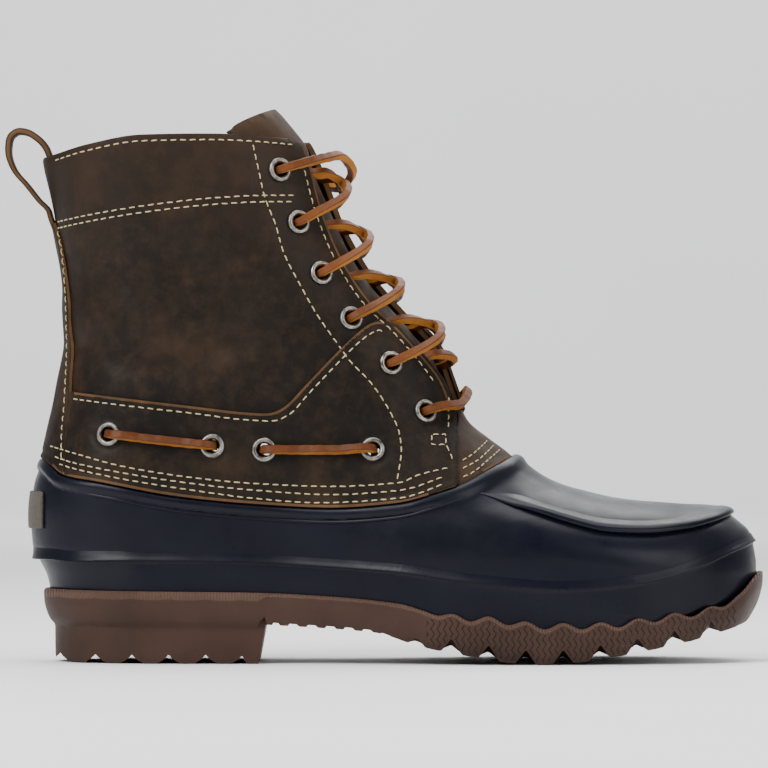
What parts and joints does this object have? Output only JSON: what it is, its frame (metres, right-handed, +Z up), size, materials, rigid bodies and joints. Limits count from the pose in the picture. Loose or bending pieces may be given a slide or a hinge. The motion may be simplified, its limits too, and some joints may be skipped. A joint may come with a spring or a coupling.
{
  "type": "duck boot",
  "caption": "Ankle-high duck boot: leather shaft laced over a moc-toe rubber foot on a lugged rubber sole, with a pull loop at the heel.",
  "frame": {"origin": "on the floor under the middle lug of the heel, in the middle plane of the heel", "axes": "+X to the toe, +Z up, -Y to the outer (lateral) side"},
  "size_m": [0.3103, 0.1127, 0.2269],
  "materials": {
    "outsole": "matte brown gum rubber",
    "insole": "felted cloth",
    "shell": "semi-gloss navy rubber",
    "leather": "oiled full grain, dark brown",
    "apron": "oiled full grain, brown",
    "tongue": "soft leather, brown",
    "tag": "bare woven tag",
    "eyelets": "antique silver",
    "laces": "rawhide, red-brown with golden cut edge"
  },
  "bodies": {
    "root": {"outsole": "outsole", "insole": "insole", "rubber_shell": "shell", "leather_upper": "leather", "vamp_leather": "apron", "saddle_lateral": "leather", "saddle_medial": "leather", "backstay": "leather", "tongue": "tongue", "pull_loop": "leather", "heel_patch": "tag", "eyelet_lateral_1": "eyelets", "eyelet_lateral_2": "eyelets", "eyelet_lateral_3": "eyelets", "eyelet_lateral_4": "eyelets", "eyelet_lateral_5": "eyelets", "eyelet_lateral_6": "eyelets", "side_eyelet_lateral_1": "eyelets", "side_eyelet_lateral_2": "eyelets", "side_eyelet_lateral_3": "eyelets", "side_eyelet_lateral_4": "eyelets", "eyelet_medial_1": "eyelets", "eyelet_medial_2": "eyelets", "eyelet_medial_3": "eyelets", "eyelet_medial_4": "eyelets", "eyelet_medial_5": "eyelets", "eyelet_medial_6": "eyelets", "side_eyelet_medial_1": "eyelets", "side_eyelet_medial_2": "eyelets", "side_eyelet_medial_3": "eyelets", "side_eyelet_medial_4": "eyelets", "lace_cross_1": "laces", "lace_cross_2": "laces", "lace_cross_3": "laces", "lace_cross_4": "laces", "lace_cross_5": "laces", "lace_bar_top": "laces", "lace_bar_bottom": "laces", "side_lace_lateral_rear": "laces", "side_lace_lateral_front": "laces", "side_lace_medial_rear": "laces", "side_lace_medial_front": "laces"}
  },
  "joints": []
}
